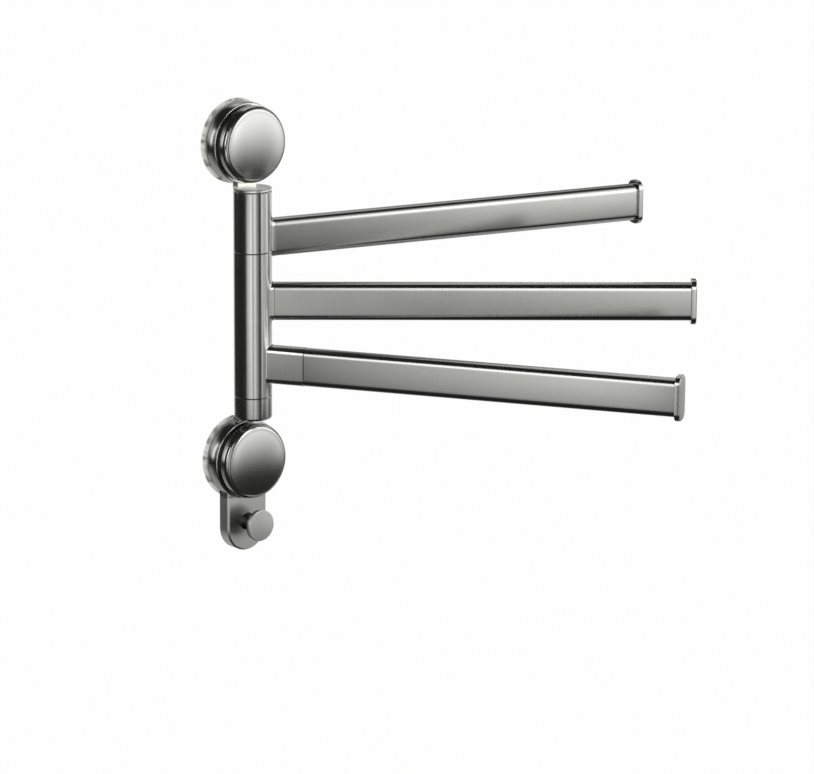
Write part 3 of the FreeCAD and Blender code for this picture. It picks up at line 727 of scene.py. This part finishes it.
class BarStage(bpy.types.PropertyGroup):
    """Camera and lights."""

    floor_drop: FloatProperty(
        name="Floor", description="Height of the floor", default=-1.8, unit="LENGTH"
    )
    ambient: FloatProperty(name="Ambient", description="Light from all round", default=0.9)
    cloth: FloatProperty(name="Tent", description="Level of the tent's dark cloth", default=0.02)
    tent: FloatProperty(
        name="Tent radius", description="Distance of the tent", default=6.0, unit="LENGTH"
    )
    card: FloatProperty(name="Card", description="Level of the card by the low arm", default=1.1)
    card_bearing: FloatProperty(
        name="Card bearing", description="Where the card stands, in degrees", default=-36.0
    )
    yaw: FloatProperty(
        name="Yaw", description="Turn of the camera", default=math.radians(-40.127),
        subtype="ANGLE",
    )
    pitch: FloatProperty(
        name="Pitch", description="How far the camera looks down", default=math.radians(13.852),
        subtype="ANGLE",
    )
    roll: FloatProperty(
        name="Roll", description="Lean of the camera", default=math.radians(0.353), subtype="ANGLE"
    )
    lens: FloatProperty(name="Lens", description="Focal length in millimetres", default=179.58)
    camera: FloatVectorProperty(
        name="Camera", description="Place of the camera",
        default=(-1.76663, -2.29060, 0.76487), subtype="XYZ",
    )


# ---------------------------------------------------------------- pieces


class TOWELBAR_OT_finishes(bpy.types.Operator):
    """Makes the geometry trees and the finishes"""

    bl_idname = "towelbar.finishes"
    bl_label = "Finishes"

    def execute(self, context):
        look, sizes = context.scene.bar_finish, context.scene.bar_sizes
        trees["turned"] = turned_tree()
        trees["drawn"] = drawn_tree()
        metal = look.metal[:]
        # Below this height the hook plate is matt and painted paler as painted light.
        painted_light_top = PAINTED_LIGHT_INSET - sizes.housing_radius
        for name, tone, roughness, stretch, matt_and_painted_light_below in (
            ("post", look.post_tone, look.post_roughness, (2400, 2400, 90), None),
            ("arm", look.arm_tone, look.arm_roughness, (90, 2200, 2200), None),
            ("cap", look.cap_tone, look.cap_roughness, (1500, 1500, 1500), None),
            ("mount", 1.0, look.post_roughness, (120, 2200, 2200), painted_light_top),
        ):
            finishes[name] = brushed_metal(
                f"{name}_metal", toned(metal, tone), roughness, stretch, matt_and_painted_light_below=matt_and_painted_light_below
            )
        finishes["steel"] = brushed_metal(
            "machined_steel", look.steel[:], roughness=0.3, stretch=(900, 900, 900), own=False
        )
        finishes["dark"] = moulded("dark_plastic", look.dark[:], roughness=0.5)
        finishes["pale"] = moulded("pale_plastic", look.pale[:], roughness=0.45)
        low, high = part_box("lower_pad")
        rim = (high.x - low.x) / 2
        finishes["rubber"] = soft_rubber(
            "pad_rubber", look.rubber[:], look.rubber_deep[:], roughness=0.25,
            reach=(rim - RIM_BAND, rim),
        )
        head = -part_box("hook_knob")[0].y
        # The knob's neck and back get a painted shade at a tenth of the metal's tone.
        finishes["knob"] = neck_shaded_metal(
            "knob_metal", toned(metal, look.knob_tone), toned(metal, 0.1), look.knob_roughness,
            levels=[head - inset for inset in KNOB_SHADE_FADE],
        )
        return {"FINISHED"}


class TOWELBAR_OT_brackets(bpy.types.Operator):
    """Dresses the two wall brackets"""

    bl_idname = "towelbar.brackets"
    bl_label = "Brackets"

    def execute(self, context):
        sizes = context.scene.bar_sizes
        wall = (sizes.housing_radius, sizes.housing_back, sizes.housing_front, sizes.housing_belly)
        for side in SIDES:
            skin(
                f"{side}_bracket_metal", f"{side}_bracket", finishes["mount"], mount_place(side),
                "frame", shape=lambda mesh: bellied(mesh, *wall),
            )
        return {"FINISHED"}


class TOWELBAR_OT_pads(bpy.types.Operator):
    """Makes the soft pads"""

    bl_idname = "towelbar.pads"
    bl_label = "Suction pads"

    def execute(self, context):
        sizes = context.scene.bar_sizes
        low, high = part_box("lower_pad")
        rim, top = (high.x - low.x) / 2, high.y - low.y
        boss, thick = sizes.boss_radius, sizes.pad_thick
        under = sizes.dish_depth * (1 - boss / sizes.dish_radius)
        seal = rounded([
            (boss, under), (sizes.dish_radius, 0), (rim, 0), (rim, sizes.pad_rim, PAD_EDGE_ROUND),
            (sizes.pad_shoulder, thick, PAD_SHOULDER_ROUND), (boss, thick),
        ], closed=True)
        middle = [
            (0, sizes.dish_depth), (boss, under), (boss, top), (sizes.shank_room, top),
            (sizes.shank_room, sizes.foot_top), (sizes.foot_room, sizes.foot_top),
            (sizes.foot_room, sizes.foot_bottom), (0, sizes.foot_bottom),
        ]
        rubber = finishes["rubber"]
        for side in SIDES:
            place = mount_place(side)
            node = f"{side}_pad"
            mesh = turned_mesh(node, seal, rubber, sizes.segments)
            show(f"{node}_seal", mesh, rubber, place, "frame", node)
            mesh = turned_mesh(node, middle, rubber, sizes.segments)
            boss_piece = show(f"{node}_middle", mesh, rubber, place, None, node)
            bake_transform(boss_piece)
        return {"FINISHED"}


def cap_profile(sizes, back, front):
    """The (r, z) line of a cap: its skirt, rounded edge, crowned face and flat inside."""
    radius, crown, edge_round = sizes.cap_radius, sizes.cap_crown, sizes.cap_round
    inner = radius - CAP_WALL
    edge = front - crown
    face = radius - edge_round
    arch = (face**2 + crown**2) / (2 * crown)
    profile = rounded(
        [(inner, back), (radius, back, CAP_BACK_ROUND), (radius, edge - CAP_EDGE_DEPTH)]
    )
    for step in range(CAP_EDGE_STEPS + 1):
        turn = math.radians(90 * step / CAP_EDGE_STEPS)
        out = face + edge_round * math.cos(turn)
        profile.append(Vector((out, edge - edge_round + edge_round * math.sin(turn))))
    for step in range(1, CAP_FACE_STEPS + 1):
        out = face * (1 - step / CAP_FACE_STEPS)
        profile.append(Vector((out, front - arch + math.sqrt(arch**2 - out**2))))
    return profile + [Vector((0, edge - CAP_FACE)), Vector((inner, edge - CAP_FACE))]


class TOWELBAR_OT_caps(bpy.types.Operator):
    """Makes the turning caps with their dark cores"""

    bl_idname = "towelbar.caps"
    bl_label = "Caps"

    def execute(self, context):
        sizes = context.scene.bar_sizes
        for side in SIDES:
            body, place = f"{side}_cap", mount_place(side)
            low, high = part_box(f"{side}_cap_shell")
            profile = cap_profile(sizes, back=-high.y, front=-low.y)
            mesh = turned_mesh(body, profile, finishes["cap"], sizes.segments)
            show(
                f"{side}_cap_metal", mesh, finishes["cap"], place, body,
                f"{side}_cap_shell",
            )
            skin(
                f"{side}_cap_core_plastic", f"{side}_cap_core", finishes["dark"], place, body,
            )
        return {"FINISHED"}


class TOWELBAR_OT_sleeves(bpy.types.Operator):
    """Dresses the round sleeves of the post"""

    bl_idname = "towelbar.sleeves"
    bl_label = "Sleeves"

    def execute(self, context):
        for arm in ARMS:
            skin(
                f"{arm}_sleeve_metal", f"{arm}_sleeve", finishes["post"], arm_place(arm), arm,
            )
        return {"FINISHED"}


class TOWELBAR_OT_tubes(bpy.types.Operator):
    """Draws the flat tubes of the arms"""

    bl_idname = "towelbar.tubes"
    bl_label = "Tubes"

    def execute(self, context):
        sizes = context.scene.bar_sizes
        section = crowned_section(
            sizes.tube_width, sizes.tube_height, sizes.tube_corner, sizes.tube_crown
        )
        for arm in ARMS:
            place = arm_place(arm)
            inverse = place.inverted()
            solid = frame["nodes"][f"{arm}_tube"].data
            points = [inverse @ vertex.co for vertex in solid.vertices]
            levels = [point.z for point in points]
            values = {
                "Start": min(point.x for point in points),
                "End": max(point.x for point in points),
                "Rise": (min(levels) + max(levels)) / 2,
                "Bevel": sizes.seam_bevel if arm == "low_arm" else sizes.tube_bevel,
                "Width": sizes.tube_width,
                "Material": finishes["arm"],
            }
            mesh = realised(arm, loop_mesh(arm, section), trees["drawn"], values)
            outward(mesh)
            show(
                f"{arm}_tube_metal", walled(mesh, sizes.tube_wall), finishes["arm"], place, arm,
                f"{arm}_tube",
            )
        return {"FINISHED"}


class TOWELBAR_OT_end_caps(bpy.types.Operator):
    """Dresses the plates at the arms' ends"""

    bl_idname = "towelbar.end_caps"
    bl_label = "End caps"

    def execute(self, context):
        for arm in ARMS:
            skin(
                f"{arm}_end_metal", f"{arm}_end_cap", finishes["cap"], arm_place(arm), arm,
            )
        return {"FINISHED"}


class TOWELBAR_OT_hook(bpy.types.Operator):
    """Dresses the knob hook"""

    bl_idname = "towelbar.hook"
    bl_label = "Hook"

    def execute(self, context):
        skin(
            "hook_knob_metal", "hook_knob", finishes["knob"], mount_place("lower"), "frame",
        )
        return {"FINISHED"}


class TOWELBAR_OT_inner(bpy.types.Operator):
    """Gives the inner pieces their finishes"""

    bl_idname = "towelbar.inner"
    bl_label = "Inner pieces"

    def execute(self, context):
        for name, node in frame["nodes"].items():
            if name.endswith(("_stud", "screw", "spindle", "spring_washer")):
                finish = finishes["steel"]
            elif name.endswith(("slip_ring", "bush")):
                finish = finishes["pale"]
            elif name.endswith("seam_washer"):
                finish = finishes["dark"]
            else:
                continue
            node.data.materials.clear()
            node.data.materials.append(finish)
        return {"FINISHED"}


# ---------------------------------------------------------------- stage


def plane(name, centre, across, upward, material):
    """A flat panel given by its centre and two half edges."""
    centre, across, upward = Vector(centre), Vector(across), Vector(upward)
    corners = [
        centre - across - upward, centre + across - upward,
        centre + across + upward, centre - across + upward,
    ]
    mesh = bpy.data.meshes.new(name)
    mesh.from_pydata([tuple(c) for c in corners], [], [(0, 1, 2, 3)])
    mesh.materials.append(material)
    panel = bpy.data.objects.new(name, mesh)
    bpy.context.scene.collection.objects.link(panel)
    return panel


def seen_rays(wires):
    """One for the camera's rays and for those that metal and clear pieces pass on."""
    camera = wires.add("ShaderNodeLightPath", out="Is Camera Ray")
    seen = camera.math("MAXIMUM", camera.output("Is Glossy Ray"))
    return seen.math("MAXIMUM", camera.output("Is Transmission Ray"))


def pale_floor():
    """A white floor that keeps a soft shadow."""
    material, wires = new_material("pale_floor")
    seen = seen_rays(wires)
    matt = wires.add("ShaderNodeBsdfDiffuse", {}, {"Color": (0.86, 0.86, 0.86, 1.0)})
    white = wires.add("ShaderNodeEmission", {}, {"Color": WHITE, "Strength": 1.0})
    surface(wires, wires.add("ShaderNodeMixShader", {}, {0: seen * 0.94, 1: matt, 2: white}))
    return material


def studio_world(level):
    """A world that is white where it is seen and lights the object at a plain level."""
    world = bpy.data.worlds.new("studio")
    bpy.context.scene.world = world
    world.use_nodes = True
    wires = Wires(world.node_tree)
    strength = seen_rays(wires) * (1 - level) + level
    background = wires.add("ShaderNodeBackground", {}, {"Color": WHITE, "Strength": strength})
    wires.add("ShaderNodeOutputWorld", {}, {"Surface": background})


# Each light is given in degrees as the object sees it: its bearing (0 is towards the camera,
# positive to the picture's right), its half width and the softness of its sides, the height and
# softness of its lower and of its upper edge, and last its level.
LIGHTS = (
    ("key", 79, 22, 12, -7, 32, 45, 30, 1.75),
    ("key_edge", 100, 8, 16, -17, 8, 24, 24, 0.8),
    ("top_line", 58, 3, 6, -14, 26, 31, 6, 1.5),
    ("top_glint", 55, 6, 4, 0, 8, 31, 6, 1.3),
    ("front", 12.5, 7.5, 10, -14, 50, 31, 6, 1.9),
    ("front_right", 27, 8, 14, -26, 16, 10, 16, 0.4),
    ("front_left", -6, 5, 6, -28, 12, -2, 10, 1.2),
    ("front_line", 4, 8, 6, 0, 8, 31, 6, 1.4),
    ("left_strip", -33, 8, 6, 0, 8, 31, 6, 2.6),
    ("rear_right", 133, 14, 15, -13, 14, 36, 20, 1.1),
    ("rear_right_foot", 137, 7, 24, -59, 14, -30, 12, 1.2),
    ("rear_left", -141, 41, 28, 0, 18, 22, 18, 0.6),
    ("low_right", 92, 17, 8, -66, 5, -44, 8, 0.5),
    ("overhead", 180, 22, 16, 30, 16, 80, 12, 0.75),
    ("rear_wall", 185, 35, 20, -24, 10, 4, 10, 0.9),
    ("floor_bounce", 185, 70, 30, -60, 20, -20, 10, 0.35),
    ("side_left", -97, 4, 5, -4, 6, 24, 8, 1.6),
)
TENT_MIDDLE = (0.10, -0.08, 0.10)
TENT_ABOVE_FLOOR = 50 * MM
FLOOR_REACH = 30.0

# The card by the low arm: the point of the arm that it serves, how far below level and how far
# away it stands as seen from there, its half width and half height, its level at the centre and
# how much that changes for each metre across and upward, how far up it still grows, and its
# least level.
CARD_TARGET = (190 * MM, 0, 14 * MM)
CARD_DROP = math.radians(-14)
CARD_DISTANCE = 0.6
CARD_HALF_WIDTH = 0.17
CARD_HALF_HEIGHT = 0.2
CARD_CENTRE = 0.68
CARD_ACROSS = 2.1
CARD_UPWARD = 5.0
CARD_GROWS_TO = 0.06
CARD_LEAST = 0.05


def tent_cloth(stage):
    """Dark cloth with soft boxes behind it, each with soft edges."""
    material, wires = new_material("tent_cloth")
    place = wires.object_place()
    turn = {"Vector": place, "Rotation": (0, 0, -stage.yaw)}
    turned = wires.add("ShaderNodeMapping", {}, turn)
    aim = wires.add("ShaderNodeVectorMath", {"operation": "NORMALIZE"}, {0: turned})
    right, away, above = wires.parts(aim)
    height = above.math("ARCSINE")
    bearing = right.math("ARCTAN2", away * -1)
    total = stage.cloth
    for _, spot, half, side_fade, low, low_fade, high, high_fade, level in LIGHTS:
        aside = (bearing - math.radians(spot)).math("WRAP", math.pi, -math.pi).math("ABSOLUTE")
        lit = faded(wires, aside, half, side_fade) * faded(wires, height, high, high_fade)
        lit = lit * (1 - faded(wires, height, low, low_fade))
        total = lit * level + total
    surface(wires, wires.add("ShaderNodeEmission", {}, {"Color": total, "Strength": 1.0}))
    return material


def faded(wires, angle, edge, softness):
    """One below an edge in degrees, falling smoothly to nothing over its softness."""
    start, end = (math.radians(edge + side * softness / 2) for side in (-1, 1))
    return wires.smooth_step(angle, start, end, first=1.0, last=0.0)


def light_tent(stage):
    """A round tent that only shows in reflections."""
    work = bmesh.new()
    bmesh.ops.create_icosphere(work, subdivisions=4, radius=stage.tent)
    flat = (-stage.floor_drop - TENT_ABOVE_FLOOR) / stage.tent
    bmesh.ops.scale(work, vec=(1, 1, flat), verts=work.verts)
    mesh = bpy.data.meshes.new("light_tent")
    work.to_mesh(mesh)
    work.free()
    mesh.materials.append(tent_cloth(stage))
    tent = bpy.data.objects.new("light_tent", mesh)
    tent.location = TENT_MIDDLE
    bpy.context.scene.collection.objects.link(tent)
    only_reflected(tent)


def only_reflected(panel):
    """Keeps a light's panel out of everything but reflections."""
    panel.visible_camera = False
    panel.visible_diffuse = False
    panel.visible_shadow = False


def arm_card(stage):
    """A pale card near the low arm, which lights its face alone."""
    target = arm_place("low_arm") @ Vector(CARD_TARGET)
    bearing = math.radians(stage.card_bearing)
    front = Vector((math.sin(stage.yaw), -math.cos(stage.yaw), 0))
    right = Vector((math.cos(stage.yaw), math.sin(stage.yaw), 0))
    aim = (front * math.cos(bearing) + right * math.sin(bearing)) * math.cos(CARD_DROP)
    aim.z = math.sin(CARD_DROP)
    across = aim.cross(Vector((0, 0, 1))).normalized()
    upward = across.cross(aim).normalized()
    if across.dot(right) < 0:
        across = -across
    centre = target + aim * CARD_DISTANCE
    material, wires = new_material("card_glow")
    place = wires.object_place()
    sideways = along(wires, place, across, centre) * CARD_ACROSS + CARD_CENTRE
    above = along(wires, place, upward, centre).math("MINIMUM", CARD_GROWS_TO)
    level = sideways * (above * CARD_UPWARD + 1.0) * stage.card
    glowing = {"Color": level.math("MAXIMUM", CARD_LEAST), "Strength": 1.0}
    surface(wires, wires.add("ShaderNodeEmission", {}, glowing))
    card = plane(
        "arm_card", centre, across * CARD_HALF_WIDTH, upward * CARD_HALF_HEIGHT, material
    )
    only_reflected(card)


def along(wires, place, direction, origin):
    """How far a place lies from an origin in a direction."""
    sockets = {0: place, 1: direction}
    dot = wires.add("ShaderNodeVectorMath", {"operation": "DOT_PRODUCT"}, sockets, out="Value")
    return dot - direction.dot(origin)


class TOWELBAR_OT_stage(bpy.types.Operator):
    """Sets the floor, the lights and the camera"""

    bl_idname = "towelbar.stage"
    bl_label = "Stage"

    def execute(self, context):
        stage = context.scene.bar_stage
        reach = FLOOR_REACH
        plane("floor", (0, 0, stage.floor_drop), (reach, 0, 0), (0, reach, 0), pale_floor())
        studio_world(stage.ambient)
        light_tent(stage)
        arm_card(stage)
        context.scene.view_settings.view_transform = "Standard"
        place_camera(context.scene, stage)
        return {"FINISHED"}


def place_camera(scene, stage):
    """Sets up the camera from its yaw, pitch, roll, lens and place."""
    yaw, pitch, roll = stage.yaw, stage.pitch, stage.roll
    forward = Vector((
        -math.sin(yaw) * math.cos(pitch), math.cos(yaw) * math.cos(pitch), -math.sin(pitch)
    ))
    right = Vector((math.cos(yaw), math.sin(yaw), 0))
    upward = right.cross(forward)
    side = right * math.cos(roll) + upward * math.sin(roll)
    top = upward * math.cos(roll) - right * math.sin(roll)
    turn = Matrix((side, top, -forward)).transposed().to_4x4()
    data = bpy.data.cameras.new("camera")
    data.lens = stage.lens
    data.sensor_width = 36.0
    data.clip_end = 100.0
    camera = bpy.data.objects.new("camera", data)
    camera.matrix_world = Matrix.Translation(stage.camera) @ turn
    scene.collection.objects.link(camera)
    scene.camera = camera


OPERATORS = (
    TOWELBAR_OT_finishes,
    TOWELBAR_OT_brackets,
    TOWELBAR_OT_pads,
    TOWELBAR_OT_caps,
    TOWELBAR_OT_sleeves,
    TOWELBAR_OT_tubes,
    TOWELBAR_OT_end_caps,
    TOWELBAR_OT_hook,
    TOWELBAR_OT_inner,
    TOWELBAR_OT_stage,
)


class TOWELBAR_PT_panel(bpy.types.Panel):
    """Lists the steps that build the bar"""

    bl_idname = "TOWELBAR_PT_panel"
    bl_label = "Towel Bar"
    bl_space_type = "VIEW_3D"
    bl_region_type = "UI"
    bl_category = "Towel Bar"

    def draw(self, context):
        for operator in OPERATORS:
            self.layout.operator(operator.bl_idname)
        for group in ("bar_sizes", "bar_finish", "bar_stage"):
            settings = getattr(context.scene, group)
            for name in settings.bl_rna.properties.keys():
                if name not in ("rna_type", "name"):
                    self.layout.prop(settings, name)


CLASSES = (BarSizes, BarFinish, BarStage, *OPERATORS, TOWELBAR_PT_panel)


def register():
    for item in CLASSES:
        bpy.utils.register_class(item)
    bpy.types.Scene.bar_sizes = PointerProperty(type=BarSizes)
    bpy.types.Scene.bar_finish = PointerProperty(type=BarFinish)
    bpy.types.Scene.bar_stage = PointerProperty(type=BarStage)


def unregister():
    del bpy.types.Scene.bar_stage
    del bpy.types.Scene.bar_finish
    del bpy.types.Scene.bar_sizes
    for item in reversed(CLASSES):
        bpy.utils.unregister_class(item)


def main():
    register()
    for operator in OPERATORS:
        name = operator.bl_idname.split(".")[1]
        getattr(bpy.ops.towelbar, name)()


if __name__ == "__main__":
    main()
